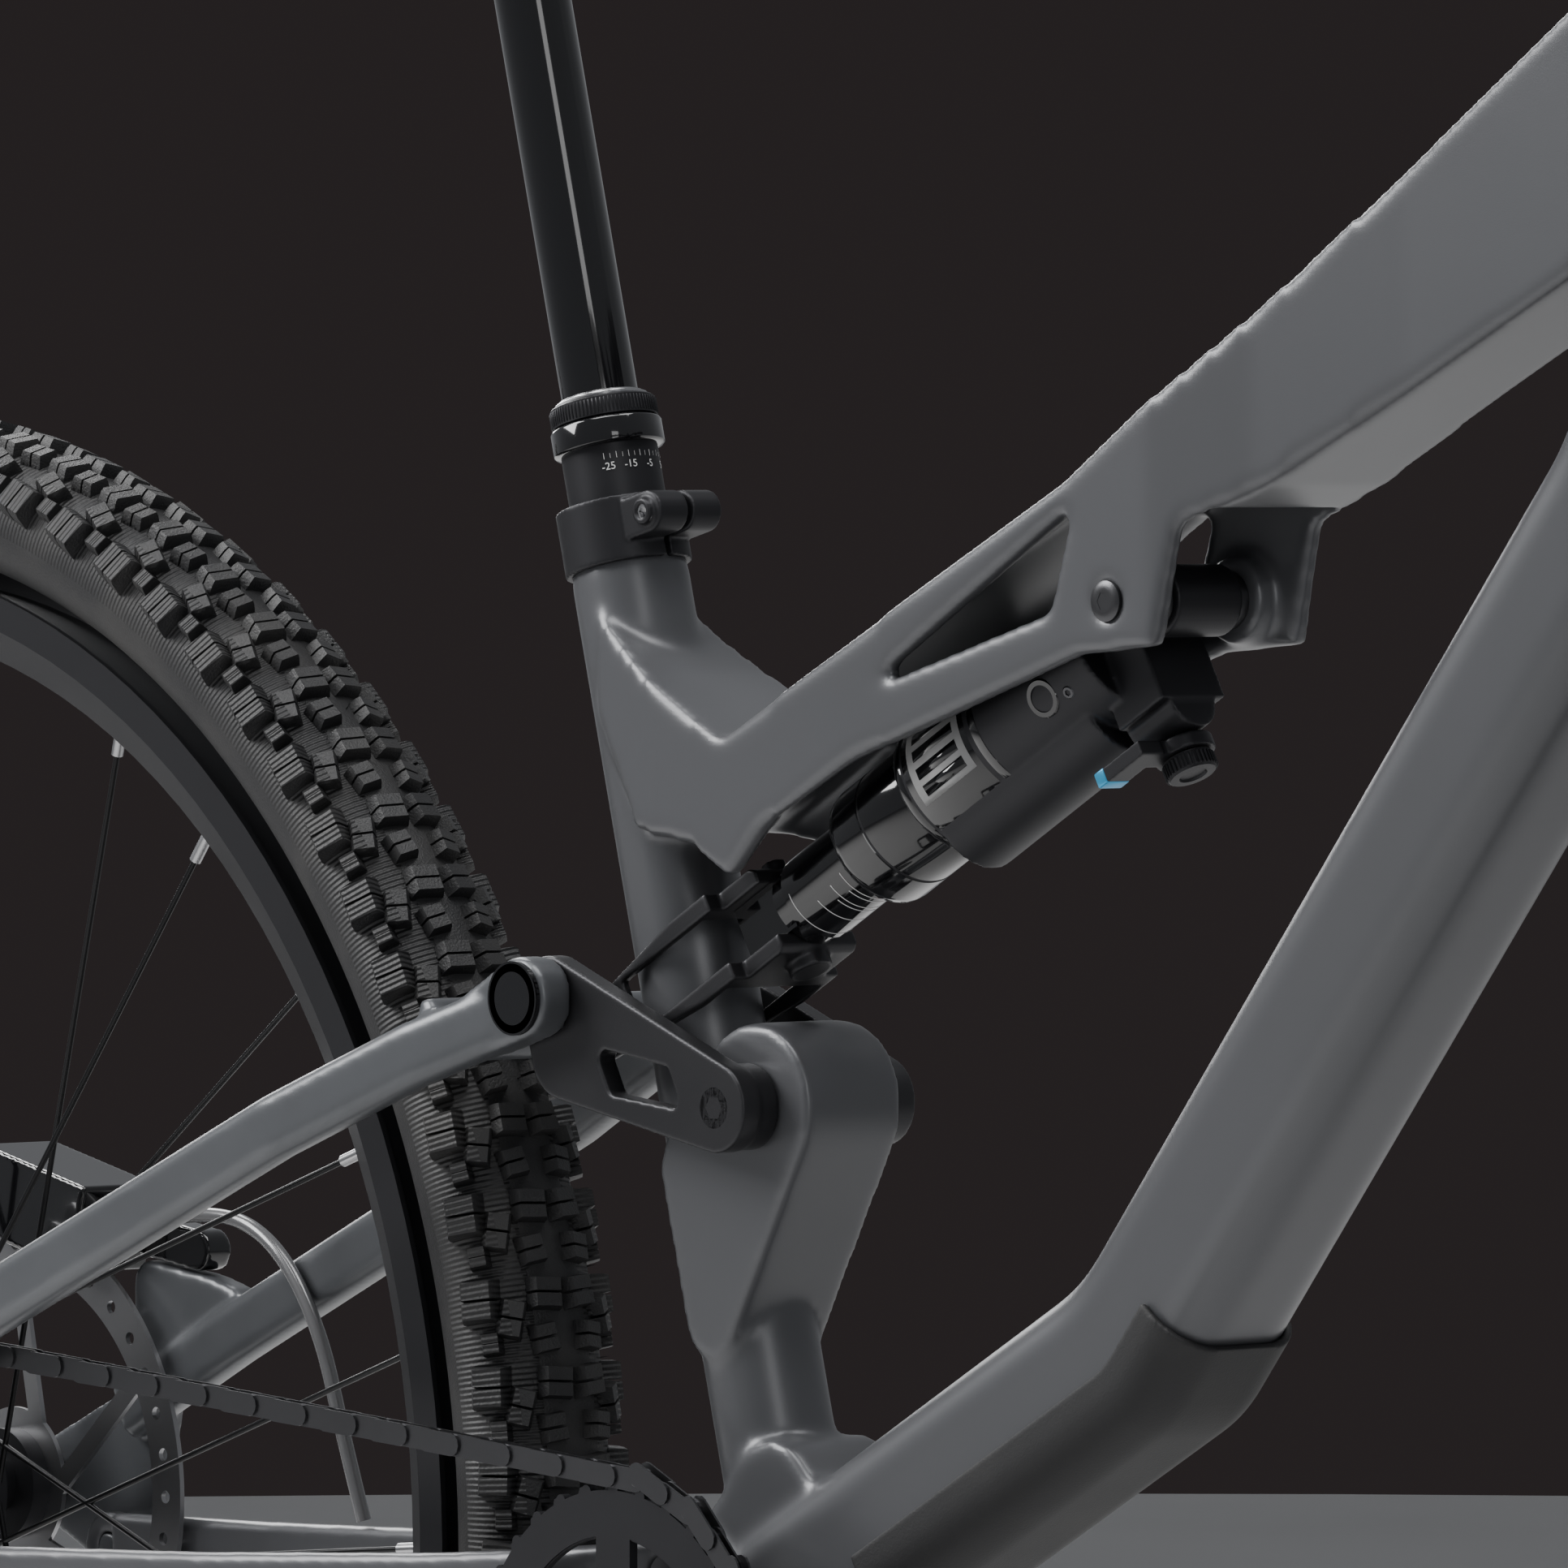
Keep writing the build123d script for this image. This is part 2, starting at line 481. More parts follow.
for side, name in ((1, "brake_lever_left"), (-1, "brake_lever_right")):
    pivot = lever_point(side, *LEVER_PIVOT)
    with BuildPart() as brake_lever:
        round_bar(pivot + Vector(0, 0, -4), pivot + Vector(0, 0, 4), 7)
        blade = [pivot, pivot + Vector(12, side * 30, 0), pivot + Vector(6, side * LEVER_LENGTH, 0)]
        with BuildLine() as blade_route:
            FilletPolyline(*blade, radius=30)
        with BuildSketch(Plane(origin=pivot, x_dir=(0, 0, 1), z_dir=blade_route.line % 0)) as blade_section:
            RectangleRounded(8, 6, 2.5)
        sweep(blade_section.sketch, path=blade_route.line)
        round_bar(pivot + Vector(0, 0, -9), pivot + Vector(0, 0, 9), LEVER_PIN_RADIUS + RUNNING_FIT,
                  mode=Mode.SUBTRACT)
    save(brake_lever.part, name)

THUMB_AXIS = Vector(8, 0, -14).normalized()
for side, name in ((-1, "shift_lever"), (1, "dropper_lever")):
    hub = lever_point(side, 6, 180, -30) + THUMB_AXIS * SIDE_GAP
    with BuildPart() as thumb_lever:
        round_bar(hub, hub + THUMB_AXIS * 8, 7)
        swept_rod([hub + THUMB_AXIS * 4.5, hub + Vector(-20, side * 14, -17), hub + Vector(-34, side * 34, -14)],
                  12, 3.2)
        round_bar(hub + Vector(-34, side * 28, -18), hub + Vector(-34, side * 33, -8), 7)
    save(thumb_lever.part, name)

# ---- Fork lowers ----
LEG_TOP = seal_height
CALIPER_TABS = (40, 66)
LEG_BOTTOM = -FORK_DROP + 62
with BuildPart() as fork_lowers:
    for side in (-1, 1):
        leg_y = side * STANCHION_SPACING / 2
        round_bar(steer(CROWN_OFFSET, leg_y, LEG_BOTTOM), steer(CROWN_OFFSET, leg_y, LEG_TOP), LEG_RADIUS)
        with BuildSketch(Plane(origin=steer(0, side * 57, 0), x_dir=STEER.x_dir, z_dir=(0, side, 0))) as drop:
            flip = -side
            for x, z, radius in ((CROWN_OFFSET, LEG_BOTTOM + 12, 15), (FORK_OFFSET, -FORK_DROP, 14)):
                with Locations((x, flip * z)):
                    Circle(radius)
            make_hull()
        extrude(drop.sketch, amount=17)
        round_bar(steer(FORK_OFFSET, side * 55.2, -FORK_DROP), steer(FORK_OFFSET, side * 74, -FORK_DROP), 12)
        swept_box([steer(30, side * 71, LEG_TOP - 46), steer(49, side * 66, LEG_TOP - 4),
                   steer(49, side * 34, LEG_TOP + 27), steer(49, 0, LEG_TOP + 27)], 22, 12, 15, 4)
    # Disc caliper mount on the left leg
    for height in CALIPER_TABS:
        box_on(STEER, (-12, 66, -FORK_DROP + height), (24, 12, 14))
    for side in (-1, 1):
        leg_y = side * STANCHION_SPACING / 2
        round_bar(steer(CROWN_OFFSET, leg_y, LEG_BOTTOM + 14), steer(CROWN_OFFSET, leg_y, LEG_TOP + 1),
                  STANCHION_RADIUS + RUNNING_FIT, mode=Mode.SUBTRACT)
    round_bar(steer(FORK_OFFSET, -90, -FORK_DROP), steer(FORK_OFFSET, 90, -FORK_DROP), 7.5, mode=Mode.SUBTRACT)
save(fork_lowers.part, "fork_lowers")

with BuildPart() as front_axle:
    round_bar(steer(FORK_OFFSET, -74, -FORK_DROP), steer(FORK_OFFSET, 72, -FORK_DROP), 7.5)
    round_bar(steer(FORK_OFFSET, -79, -FORK_DROP), steer(FORK_OFFSET, -74, -FORK_DROP), 10)
save(front_axle.part, "front_axle")


def caliper_body(plane, rotor_y, length):
    """A two piston caliper over the rotor's rim; the plane's X points outward from the axle."""
    box_on(plane, (0, rotor_y + 3, 0), (30, 32, length))
    box_on(plane, (0, rotor_y + 5, 0), (22, 36, length * 0.6))
    slot_low, slot_high = -20, ROTOR_RADIUS + 2.5 - CALIPER_REACH
    box_on(plane, ((slot_low + slot_high) / 2, rotor_y, 0), (slot_high - slot_low, 3.4, length + 20),
           mode=Mode.SUBTRACT)


CALIPER_REACH = ROTOR_RADIUS + 8
front_turn = radians(150)
radial = STEER.x_dir * cos(front_turn) + STEER.z_dir * sin(front_turn)
tangent = STEER.z_dir * cos(front_turn) - STEER.x_dir * sin(front_turn)
FRONT_CALIPER = Plane(origin=steer(FORK_OFFSET, 0, -FORK_DROP) + radial * CALIPER_REACH, x_dir=radial, z_dir=tangent)
with BuildPart() as front_caliper:
    caliper_body(FRONT_CALIPER, FRONT_ROTOR_Y, 52)
    for height in CALIPER_TABS:
        box_on(STEER, (-30.2, 59, -FORK_DROP + height), (12, 14, 14))
save(front_caliper.part, "front_caliper")


# ---- Wheels ----
def wheel_plane(axle):
    """Section plane of a wheel: X across the bike, Y outward from the axle."""
    return Plane(origin=axle, x_dir=(0, 1, 0), z_dir=(1, 0, 0))


def tyre_part(axle, name):
    section_plane = wheel_plane(axle)
    middle = RIM_OUTER_RADIUS + (WHEEL_RADIUS - RIM_OUTER_RADIUS) * 0.48
    with BuildPart() as tyre:
        with BuildSketch(section_plane):
            with Locations((0, middle)):
                Ellipse(TYRE_WIDTH / 2, WHEEL_RADIUS - middle)
                Ellipse(TYRE_WIDTH / 2 - 4, WHEEL_RADIUS - middle - 6, mode=Mode.SUBTRACT)
            with Locations((0, RIM_OUTER_RADIUS - 15)):
                Rectangle(TYRE_WIDTH + 10, 30, mode=Mode.SUBTRACT)
            for side in (-1, 1):
                with Locations((side * (RIM_WIDTH / 2 - 3.4), RIM_OUTER_RADIUS)):
                    Rectangle(2.6, 8)
        revolve(axis=Axis(axle, (0, 1, 0)))
    save(tyre.part, name)


def rim_part(axle, name):
    half = RIM_WIDTH / 2
    with BuildPart() as rim:
        with BuildSketch(wheel_plane(axle)):
            with BuildLine():
                Polyline((-half, RIM_OUTER_RADIUS), (-half + 2, RIM_OUTER_RADIUS),
                         (-half + 2, RIM_OUTER_RADIUS - 7), (half - 2, RIM_OUTER_RADIUS - 7),
                         (half - 2, RIM_OUTER_RADIUS), (half, RIM_OUTER_RADIUS),
                         (half, RIM_INNER_RADIUS + 12), (half - 7, RIM_INNER_RADIUS),
                         (7 - half, RIM_INNER_RADIUS), (-half, RIM_INNER_RADIUS + 12), close=True)
            make_face()
            with BuildLine():
                Polyline((3 - half, RIM_OUTER_RADIUS - 9.5), (half - 3, RIM_OUTER_RADIUS - 9.5),
                         (half - 8.5, RIM_INNER_RADIUS + 2.5), (8.5 - half, RIM_INNER_RADIUS + 2.5), close=True)
            make_face(mode=Mode.SUBTRACT)
        revolve(axis=Axis(axle, (0, 1, 0)))
    save(rim.part, name)


def spokes_part(axle, flange_y, flange_radius, name):
    """Tangential spokes, alternately leading and trailing, from both hub flanges."""
    with BuildPart() as spokes:
        for index in range(SPOKE_COUNT):
            side = 1 if index % 2 else -1
            lead = 1 if (index // 2) % 2 else -1
            angle = 2 * pi * index / SPOKE_COUNT
            root = angle + lead * radians(78)
            low = axle + Vector(flange_radius * cos(root), side * flange_y, flange_radius * sin(root))
            high = axle + Vector((RIM_INNER_RADIUS + 1.5) * cos(angle), side * 3.5,
                                 (RIM_INNER_RADIUS + 1.5) * sin(angle))
            round_bar(low, high, SPOKE_RADIUS)
            run = (high - low).normalized()
            round_bar(high - run * 15, high, 2.0)
    save(spokes.part, name)


def hub_part(axle, width, flange_y, flange_radius, rotor_y, name):
    half = width / 2
    with BuildPart() as hub:
        y_places = ((-half + 0.2, half - 0.2, 9.5), (-flange_y - 6, flange_y + 6, 14),
                    (rotor_y - 8, rotor_y - ROTOR_THICKNESS / 2, 19))
        for y_low, y_high, radius in y_places:
            round_bar(axle + Vector(0, y_low, 0), axle + Vector(0, y_high, 0), radius)
        for side in (-1, 1):
            round_bar(axle + Vector(0, side * (flange_y - 1.8), 0), axle + Vector(0, side * (flange_y + 1.8), 0),
                      flange_radius + 4)
        round_bar(axle + Vector(0, -half, 0), axle + Vector(0, half, 0), 7.5 + RUNNING_FIT, mode=Mode.SUBTRACT)
    save(hub.part, name)


def rotor_part(axle, rotor_y, name):
    with BuildPart() as rotor:
        rotor_plane = Plane(origin=axle + Vector(0, rotor_y - ROTOR_THICKNESS / 2, 0), z_dir=(0, 1, 0))
        with BuildSketch(rotor_plane):
            Circle(ROTOR_RADIUS)
            Circle(ROTOR_RADIUS - 15, mode=Mode.SUBTRACT)
            with PolarLocations(0, 6):
                with Locations((ROTOR_RADIUS * 0.52, 6)):
                    Rectangle(ROTOR_RADIUS * 0.66, 7, rotation=-12)
            Circle(26)
            Circle(15, mode=Mode.SUBTRACT)
            with PolarLocations(ROTOR_RADIUS - 8, 36):
                Circle(2.2, mode=Mode.SUBTRACT)
        extrude(amount=ROTOR_THICKNESS)
    save(rotor.part, name)


for axle, end, width, flange_y, rotor_y in ((FRONT_AXLE, "front", FRONT_HUB_WIDTH, 27, FRONT_ROTOR_Y),
                                            (REAR_AXLE, "rear", REAR_HUB_WIDTH, 29, REAR_ROTOR_Y)):
    tyre_part(axle, f"{end}_tyre")
    rim_part(axle, f"{end}_rim")
    spokes_part(axle, flange_y, 26, f"{end}_spokes")
    hub_part(axle, width, flange_y, 26, rotor_y, f"{end}_hub")
    rotor_part(axle, rotor_y, f"{end}_rotor")

# ---- Cassette, cranks and pedals ----
COG_SPACING = 3.35
COG_THICKNESS = 1.8
cog_base = -32.5


def tooth_tip(teeth):
    return teeth * CHAIN_PITCH / (2 * pi) + 2.2


with BuildPart() as cassette:
    for index, teeth in enumerate(CASSETTE_TEETH):
        cog_y = cog_base - index * COG_SPACING
        round_bar(REAR_AXLE + Vector(0, cog_y, 0), REAR_AXLE + Vector(0, cog_y - COG_THICKNESS, 0),
                  tooth_tip(teeth))
    cog_end = cog_base - len(CASSETTE_TEETH) * COG_SPACING
    round_bar(REAR_AXLE + Vector(0, cog_end + 1, 0), REAR_AXLE + Vector(0, cog_base, 0), 17.5)
    round_bar(REAR_AXLE + Vector(0, cog_end - 5, 0), REAR_AXLE + Vector(0, cog_base + 5, 0), 14 + RUNNING_FIT,
              mode=Mode.SUBTRACT)
save(cassette.part, "cassette")

with BuildPart() as bottom_bracket:
    for side in (-1, 1):
        for y_low, y_high, radius in ((12, 36.5, SHELL_BORE), (36.5, 43, SHELL_RADIUS)):
            round_bar(at(*BOTTOM_BRACKET, side * y_low), at(*BOTTOM_BRACKET, side * y_high), radius)
    y_pin(*BOTTOM_BRACKET, 14.5 + RUNNING_FIT, -60, 60, mode=Mode.SUBTRACT)
save(bottom_bracket.part, "bottom_bracket")

CRANK_INNER = 71.5
CRANK_THICKNESS = 14.0
bb_x, bb_z = BOTTOM_BRACKET
with BuildPart() as crankset:
    y_pin(bb_x, bb_z, 14.5, -CRANK_INNER, CRANK_INNER)
    hull_plate([(bb_x, bb_z, 20), (bb_x + CRANK_LENGTH, bb_z, 14)], -CRANK_INNER - CRANK_THICKNESS, -CRANK_INNER)
    hull_plate([(bb_x, bb_z, 20), (bb_x - CRANK_LENGTH, bb_z, 14)], CRANK_INNER, CRANK_INNER + CRANK_THICKNESS)
    for side in (-1, 1):
        round_bar(at(bb_x, bb_z, side * 43.4), at(bb_x, bb_z, side * CRANK_INNER), 18)
        y_pin(bb_x - side * CRANK_LENGTH, bb_z, 7 + RUNNING_FIT, -100, 100, mode=Mode.SUBTRACT)
save(crankset.part, "crankset")

ring_radius = tooth_tip(CHAINRING_TEETH)
with BuildPart() as chainring:
    ring_plane = SIDE.offset(CHAINLINE - 1.6)
    with BuildSketch(ring_plane):
        with Locations((bb_x, bb_z)):
            Circle(ring_radius - 1.8)
            Circle(ring_radius - 16, mode=Mode.SUBTRACT)
            with PolarLocations(0, 4):
                with Locations((ring_radius * 0.52, 0)):
                    Rectangle(ring_radius * 0.62, 16)
            with PolarLocations(ring_radius - 1.8, CHAINRING_TEETH):
                Circle(2.2)
            Circle(26)
            Circle(18, mode=Mode.SUBTRACT)
    extrude(amount=3.2)
save(chainring.part, "chainring")

PEDAL_WIDTH = 100.0
for side, name in ((1, "pedal_left"), (-1, "pedal_right")):
    pedal_x = bb_x - side * CRANK_LENGTH
    start_y = side * (CRANK_INNER + CRANK_THICKNESS)
    with BuildPart() as pedal:
        round_bar(at(pedal_x, bb_z, start_y - side * CRANK_THICKNESS),
                  at(pedal_x, bb_z, start_y + side * (PEDAL_WIDTH + 4)), 7)
        platform = Plane(origin=at(pedal_x, bb_z, start_y + side * (PEDAL_WIDTH / 2 + 4)))
        with BuildSketch(platform.offset(-8)) as outline:
            RectangleRounded(96, PEDAL_WIDTH, 12)
            for x in (-28, 28):
                with Locations((x, 0)):
                    RectangleRounded(28, PEDAL_WIDTH - 26, 6, mode=Mode.SUBTRACT)
        extrude(outline.sketch, amount=16)
        round_bar(at(pedal_x, bb_z, start_y + side * 4), at(pedal_x, bb_z, start_y + side * (PEDAL_WIDTH + 4)), 9.5)
        with BuildSketch(platform.offset(-11)) as pins:
            with GridLocations(82, (PEDAL_WIDTH - 14) / 2, 2, 3):
                Circle(2)
        extrude(pins.sketch, amount=22)
    save(pedal.part, name)

# ---- Chainstay, seatstay and their axles ----
EAR_INNER = PIVOT_BOSS_HALF + SIDE_GAP
EAR_OUTER = 36.0
DROPOUT_INNER = REAR_HUB_WIDTH / 2
DROPOUT_THICKNESS = 8.0
LUG_INNER = 65.5
LUG_OUTER = DROPOUT_INNER - SIDE_GAP
with BuildPart() as chainstay:
    for side in (-1, 1):
        ends = sorted((side * EAR_INNER, side * EAR_OUTER))
        y_pin(*MAIN_PIVOT, 14, *ends)
        swept_box([at(MAIN_PIVOT[0] - 4, MAIN_PIVOT[1], side * 31), at(392, 366, side * 40.5),
                   at(345, 362, side * 45), at(250, 357, side * 60), at(130, 352, side * 67.5),
                   at(HORST_PIVOT[0] + 6, HORST_PIVOT[1], side * 67.5)], 12, 9, 24, 3.5)
        lug_ends = sorted((side * LUG_INNER, side * LUG_OUTER))
        y_pin(*HORST_PIVOT, 12, *lug_ends)
    hull_plate([(398, 368, 9), (410, 368, 9)], -40, 40)
    y_pin(*MAIN_PIVOT, PIN_RADIUS + RUNNING_FIT, -60, 60, mode=Mode.SUBTRACT)
    y_pin(*HORST_PIVOT, 5 + RUNNING_FIT, -90, 90, mode=Mode.SUBTRACT)
save(chainstay.part, "chainstay")

with BuildPart() as main_pivot_axle:
    y_pin(*MAIN_PIVOT, PIN_RADIUS, -EAR_OUTER - 1, EAR_OUTER + 1)
save(main_pivot_axle.part, "main_pivot_axle")

STAY_BRIDGE = (351.0, 536.0)
BRIDGE_HALF = 50.0
STAY_CAP_RADIUS = 11.7
with BuildPart() as seatstay:
    for side in (-1, 1):
        ends = sorted((side * STAY_INNER_HALF, side * STAY_OUTER_HALF))
        hull_plate([(*STAY_PIVOT, 13), (372, 543.5, 11)], *ends)
        swept_box([at(378, 545, side * 42.5), at(345, 532, side * 52), at(290, 507.5, side * 63),
                   at(110, 427, side * 68.5), at(45, 397, side * 73)], 14, 13, 21, 5)
        plate = sorted((side * DROPOUT_INNER, side * (DROPOUT_INNER + DROPOUT_THICKNESS)))
        hull_plate([(56, 402, 8), (0, WHEEL_RADIUS, 14), (*HORST_PIVOT, 12)], *plate)
        horst = sorted((side * LUG_INNER, side * (DROPOUT_INNER + 4)))
        y_pin(*HORST_PIVOT, 5, *horst)
    hull_plate([(*STAY_BRIDGE, 6.5), (347, 546, 4)], -BRIDGE_HALF, BRIDGE_HALF)
    # Caliper mount on top of the left stay
    hull_plate([(62, 420, 8), (104, 434, 8), (62, 440.8, 8), (92, 437, 8)], 66, 76)
    y_pin(0, WHEEL_RADIUS, 7.5, -100, 100, mode=Mode.SUBTRACT)
save(seatstay.part, "seatstay")

with BuildPart() as rear_axle:
    axle_half = DROPOUT_INNER + DROPOUT_THICKNESS
    y_pin(0, WHEEL_RADIUS, 7.5, -axle_half - 1, axle_half)
    y_pin(0, WHEEL_RADIUS, 10, axle_half, axle_half + 4)
save(rear_axle.part, "rear_axle")

with BuildPart() as stay_bolts:
    for side in (-1, 1):
        cap = sorted((side * STAY_OUTER_HALF, side * (STAY_OUTER_HALF + 1.6)))
        y_pin(*STAY_PIVOT, STAY_CAP_RADIUS, *cap)
        horst = sorted((side * (DROPOUT_INNER + DROPOUT_THICKNESS), side * (DROPOUT_INNER + DROPOUT_THICKNESS + 3)))
        y_pin(*HORST_PIVOT, 9, *horst)
save(stay_bolts.part, "stay_bolts")

rear_radial = Vector(22, 0, 98).normalized()
REAR_CALIPER = Plane(origin=REAR_AXLE + rear_radial * CALIPER_REACH, x_dir=rear_radial,
                     z_dir=Vector(-rear_radial.Z, 0, rear_radial.X))
with BuildPart() as rear_caliper:
    caliper_body(REAR_CALIPER, REAR_ROTOR_Y, 58)
    hull_plate([(44, 462, 7), (62, 457, 7)], 66, 76)
    hull_plate([(88, 453.4, 7), (62, 457, 7)], 66, 76)
save(rear_caliper.part, "rear_caliper")

# ---- Rocker link ----
KNUCKLE = (YOKE_PIVOT[0] + 3, YOKE_PIVOT[1] - 3)
with BuildPart() as rocker_link:
    for side in (-1, 1):
        ends = sorted((side * ROCKER_INNER_HALF, side * ROCKER_OUTER_HALF))
        hull_plate([(*STAY_PIVOT, 13), (*KNUCKLE, 15), (*ROCKER_PIVOT, 14)], *ends)
        hull_plate([(418, 532.5, 3), (446, 529, 2.5), (422, 524, 2.5), (450, 521, 2.5)], *ends, mode=Mode.SUBTRACT)
        boss = sorted((side * (BOSS_HALF + SIDE_GAP), side * ROCKER_INNER_HALF))
        y_pin(*ROCKER_PIVOT, 13.5, *boss)
        knuckle_pin = sorted((side * (YOKE_OUTER_HALF + 6.3), side * ROCKER_OUTER_HALF))
        y_pin(*YOKE_PIVOT, 5.5, *knuckle_pin)
    y_pin(*ROCKER_PIVOT, PIN_RADIUS, -ROCKER_OUTER_HALF, ROCKER_OUTER_HALF)
save(rocker_link.part, "rocker_link")

# ---- Shock and yoke, measured along the shock from the yoke pivot ----
SHAFT_RADIUS = 14.3
CAN_RADIUS = 20.0
SLEEVE_RADIUS = 23.0
CAN_START = 129.0
SHAFT_START = 92.0
with BuildPart() as shock_body:
    tube_between(SHOCK, CAN_START, CAN_START + 46, CAN_RADIUS, SHAFT_RADIUS + RUNNING_FIT)
    tube_between(SHOCK, CAN_START + 38, CAN_START + 92, SLEEVE_RADIUS, SHAFT_RADIUS + RUNNING_FIT)
    tube_between(SHOCK, CAN_START + 92, SHOCK_LENGTH - 27, SLEEVE_RADIUS, 0)
    round_bar(shock(0, -14, CAN_START + 42), shock(0, -14, CAN_START + 118), 16)
    box_on(SHOCK, (0, -8, SHOCK_LENGTH - 22), (26, 38, 22))
    round_bar(shock(0, -27, SHOCK_LENGTH - 34), shock(0, -27, SHOCK_LENGTH - 12), 9)
    y_pin(*SHOCK_EYE, 11, -LUG_INNER_HALF + 4, LUG_INNER_HALF - 4)
    round_bar(shock(0, 0, CAN_START - 1), shock(0, 0, CAN_START + 92), SHAFT_RADIUS + RUNNING_FIT,
              mode=Mode.SUBTRACT)
    y_pin(*SHOCK_EYE, 5 + RUNNING_FIT, -60, 60, mode=Mode.SUBTRACT)
save(shock_body.part, "shock_body")

with BuildPart() as shock_upper_bolt:
    y_pin(*SHOCK_EYE, 5, -34, 34)
    for y_low in (-LUG_INNER_HALF, LUG_INNER_HALF - 3.6):
        y_pin(*SHOCK_EYE, 9, y_low, y_low + 3.6)
save(shock_upper_bolt.part, "shock_upper_bolt")

KNOB = Plane(origin=shock(0, -36.4, SHOCK_LENGTH - 23), x_dir=(0, -1, 0), z_dir=shock(0, -1, 0) - shock(0, 0, 0))
with BuildPart() as rebound_knob:
    tube_between(KNOB, 5.2, 11, 8.5, 0)
save(rebound_knob.part, "rebound_knob")

with BuildPart() as shock_lever:
    tube_between(KNOB, 0.2, 4.8, 9.5, 0)
    box_on(KNOB, (16, 8, 2.5), (9, 22, 4.6))
    box_on(KNOB, (8, 2, 2.5), (16, 9, 4.6))
save(shock_lever.part, "shock_lever")

with BuildPart() as shock_shaft:
    tube_between(SHOCK, SHAFT_START + 4, CAN_START + 30, SHAFT_RADIUS, 0)
    tube_between(SHOCK, SHAFT_START - 2, SHAFT_START + 6, SHAFT_RADIUS - 1, 0)
    box_on(SHOCK, (0, 0, 82), (22, 17.4, 24))
    round_bar(shock(0, -12, 82), shock(0, 12, 82), 4 + RUNNING_FIT, mode=Mode.SUBTRACT)
save(shock_shaft.part, "shock_shaft")

with BuildPart() as sag_ring:
    tube_between(SHOCK, CAN_START - 2.9, CAN_START - 0.3, SHAFT_RADIUS + 1.6, SHAFT_RADIUS + RUNNING_FIT)
save(sag_ring.part, "sag_ring")

with BuildPart() as yoke:
    # Two wishbone plates, above and below the shock's lower eye, that straddle the seat tube
    for up in (-11.9, 11.9):
        box_on(SHOCK, (0, up, 44), (2 * YOKE_OUTER_HALF, 6, 91))
    for side in (-1, 1):
        box_on(SHOCK, (side * (YOKE_OUTER_HALF - YOKE_ARM_THICKNESS / 2), 0, 10), (YOKE_ARM_THICKNESS, 18, 26))
        ends = sorted((side * (YOKE_OUTER_HALF - 0.5), side * (YOKE_OUTER_HALF + 6)))
        y_pin(*YOKE_PIVOT, 8, *ends)
        box_on(SHOCK, (side * 24, 0, 88), (16, 40, 34), mode=Mode.SUBTRACT)
    with BuildSketch(SIDE) as yoke_outline:
        for along, up, radius in ((0, 0, 9), (58, 8.5, 7), (58, -8.5, 7), (84, 8.5, 7), (84, -8.5, 7)):
            spot = shock(0, up, along)
            with Locations((spot.X + WHEELBASE / 2, spot.Z)):
                Circle(radius)
        make_hull()
    extrude(yoke_outline.sketch, amount=60, both=True, mode=Mode.INTERSECT)
    box_on(SHOCK, (0, 0, 17), (2 * YOKE_INNER_HALF, 60, 94), mode=Mode.SUBTRACT)
    round_bar(shock(0, -19, 82), shock(0, 19, 82), 4)
    round_bar(shock(0, -19, 82), shock(0, -14, 82), 7)
save(yoke.part, "yoke")

# ---- Derailleur, chain and brake hose ----
JOCKEY_RADIUS = 17.5
CAGE_OUTER = 6.8
UPPER_JOCKEY = (20.0, 278.0)
LOWER_JOCKEY = (42.0, 200.0)
with BuildPart() as derailleur_body:
    hanger_face = -DROPOUT_INNER - DROPOUT_THICKNESS
    hull_plate([(-9, WHEEL_RADIUS - 15, 8), (-8, WHEEL_RADIUS - 36, 9)], hanger_face - 9, hanger_face)
    hull_plate([(-8, WHEEL_RADIUS - 36, 9), (*UPPER_JOCKEY, 11)], hanger_face - 9, hanger_face + 1)
    y_pin(*UPPER_JOCKEY, 8, hanger_face, -CHAINLINE - CAGE_OUTER - SIDE_GAP)
save(derailleur_body.part, "derailleur_body")

with BuildPart() as derailleur_cage:
    for y_low in (-CHAINLINE - CAGE_OUTER, -CHAINLINE + CAGE_OUTER - 2):
        hull_plate([(*UPPER_JOCKEY, 11), (*LOWER_JOCKEY, 10)], y_low, y_low + 2)
    for place in (UPPER_JOCKEY, LOWER_JOCKEY):
        y_pin(*place, 3, -CHAINLINE - CAGE_OUTER + 1, -CHAINLINE + CAGE_OUTER - 1)
save(derailleur_cage.part, "derailleur_cage")

for place, name in ((UPPER_JOCKEY, "jockey_upper"), (LOWER_JOCKEY, "jockey_lower")):
    with BuildPart() as jockey:
        y_pin(*place, JOCKEY_RADIUS, -CHAINLINE - 1.5, -CHAINLINE + 1.5)
        y_pin(*place, 7, -CHAINLINE - 4, -CHAINLINE + 4)
        y_pin(*place, 3 + RUNNING_FIT, -60, -40, mode=Mode.SUBTRACT)
    save(jockey.part, name)


def tangent_points(first, second):
    """Where a belt leaves one circle and meets the next; a turn is +1 anticlockwise, -1 clockwise."""
    (x1, z1, r1, turn1), (x2, z2, r2, turn2) = first, second
    gap_x, gap_z = x2 - x1, z2 - z1
    gap = hypot(gap_x, gap_z)
    along = (turn1 * r1 - turn2 * r2) / gap
    across = sqrt(1 - along * along)
    normal_x = (along * gap_x + across * gap_z) / gap
    normal_z = (along * gap_z - across * gap_x) / gap
    return ((x1 + turn1 * r1 * normal_x, z1 + turn1 * r1 * normal_z),
            (x2 + turn2 * r2 * normal_x, z2 + turn2 * r2 * normal_z))


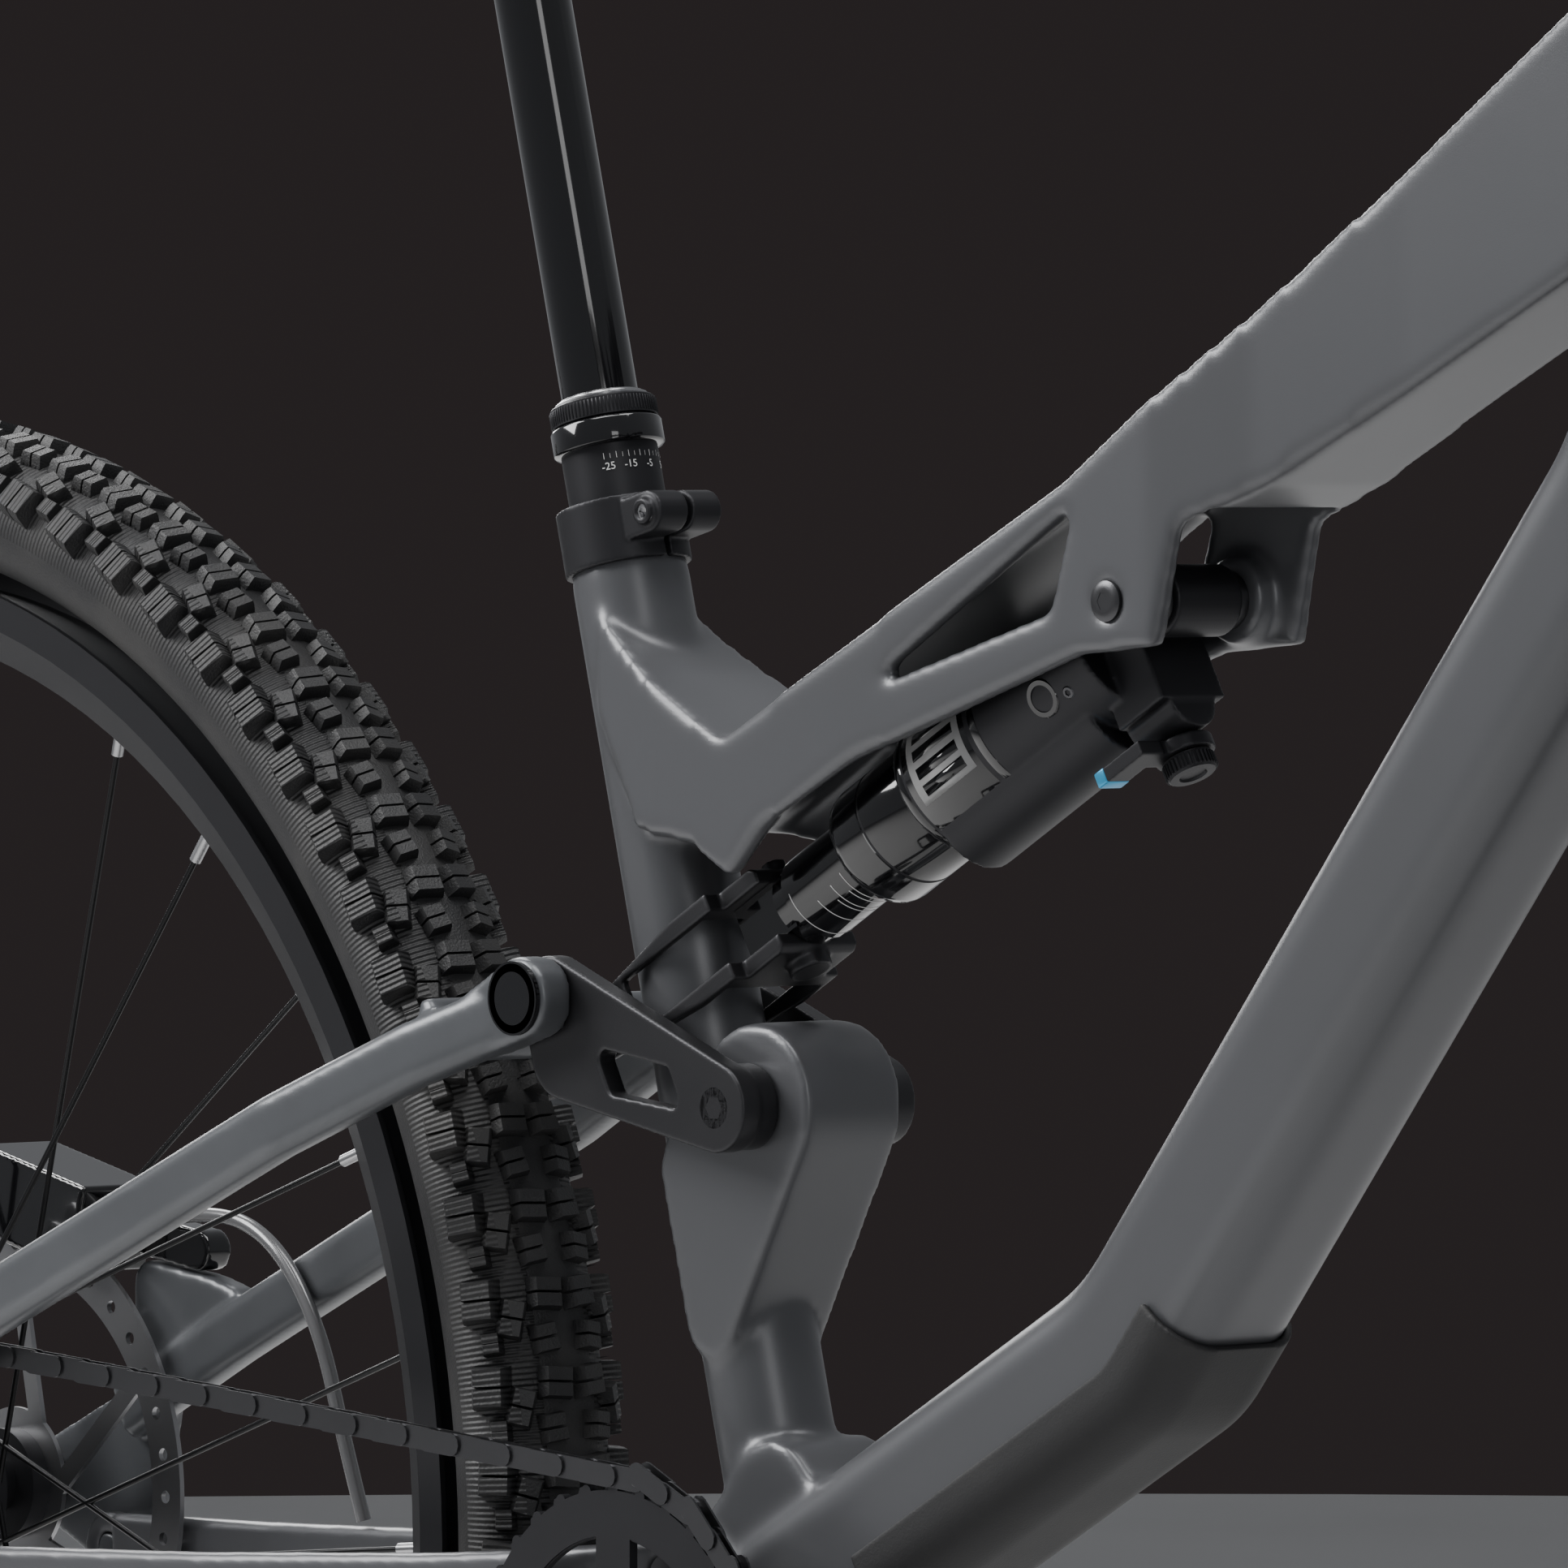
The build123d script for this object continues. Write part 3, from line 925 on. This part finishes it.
CHAIN_THICKNESS = 4.0
CHAIN_WIDTH = 4.6
COG_ON_CHAIN = 4
chain_lift = CHAIN_THICKNESS / 2 + 0.4
chain_y = -CHAINLINE
wheels = [(bb_x, bb_z, ring_radius + chain_lift, 1),
          (0, WHEEL_RADIUS, tooth_tip(CASSETTE_TEETH[COG_ON_CHAIN]) + chain_lift, 1),
          (*UPPER_JOCKEY, JOCKEY_RADIUS + chain_lift, -1),
          (*LOWER_JOCKEY, JOCKEY_RADIUS + chain_lift, 1)]
with BuildPart() as chain:
    with BuildSketch(SIDE.offset(CHAINLINE - CHAIN_WIDTH / 2)):
        with BuildLine():
            runs = [tangent_points(wheels[i], wheels[(i + 1) % 4]) for i in range(4)]
            for i in range(4):
                Line(*runs[i])
                centre_x, centre_z, radius, turn = wheels[(i + 1) % 4]
                arrive, leave = runs[i][1], runs[(i + 1) % 4][0]
                start_angle = atan2(arrive[1] - centre_z, arrive[0] - centre_x)
                end_angle = atan2(leave[1] - centre_z, leave[0] - centre_x)
                swing = (turn * (end_angle - start_angle)) % (2 * pi)
                middle = start_angle + turn * swing / 2
                ThreePointArc(arrive, (centre_x + radius * cos(middle), centre_z + radius * sin(middle)), leave)
        make_face()
        offset(amount=CHAIN_THICKNESS / 2)
        offset(amount=-CHAIN_THICKNESS, mode=Mode.SUBTRACT)
    extrude(amount=CHAIN_WIDTH)
save(chain.part, "chain")

# The hose leaves the caliper, arches down inside the left seatstay and enters the chainstay.
HOSE_RADIUS = 2.5
HOSE_BEND_SHARE = 0.45
HOSE_POINTS = [(49.8, 459.3, 61.7), (96, 468, 58.6), (136, 464, 57.4), (164, 434, 57.2), (176, 394, 58.6),
               (182, 368, 62)]
hose_route = [at(x, z, y) for x, z, y in HOSE_POINTS]
hose_runs = [end - start for start, end in zip(hose_route, hose_route[1:])]
hose_bends = [HOSE_BEND_SHARE * min(before.length, after.length) / tan(radians(before.get_angle(after) / 2))
              for before, after in zip(hose_runs, hose_runs[1:])]
print("hose bends", [round(bend, 1) for bend in hose_bends])
with BuildPart() as rear_brake_hose:
    with BuildLine() as hose_line:
        FilletPolyline(*hose_route, radius=hose_bends)
    with BuildSketch(Plane(origin=hose_line.line @ 0, z_dir=hose_line.line % 0)) as hose_section:
        Circle(HOSE_RADIUS)
    sweep(hose_section.sketch, path=hose_line.line)
save(rear_brake_hose.part, "rear_brake_hose")
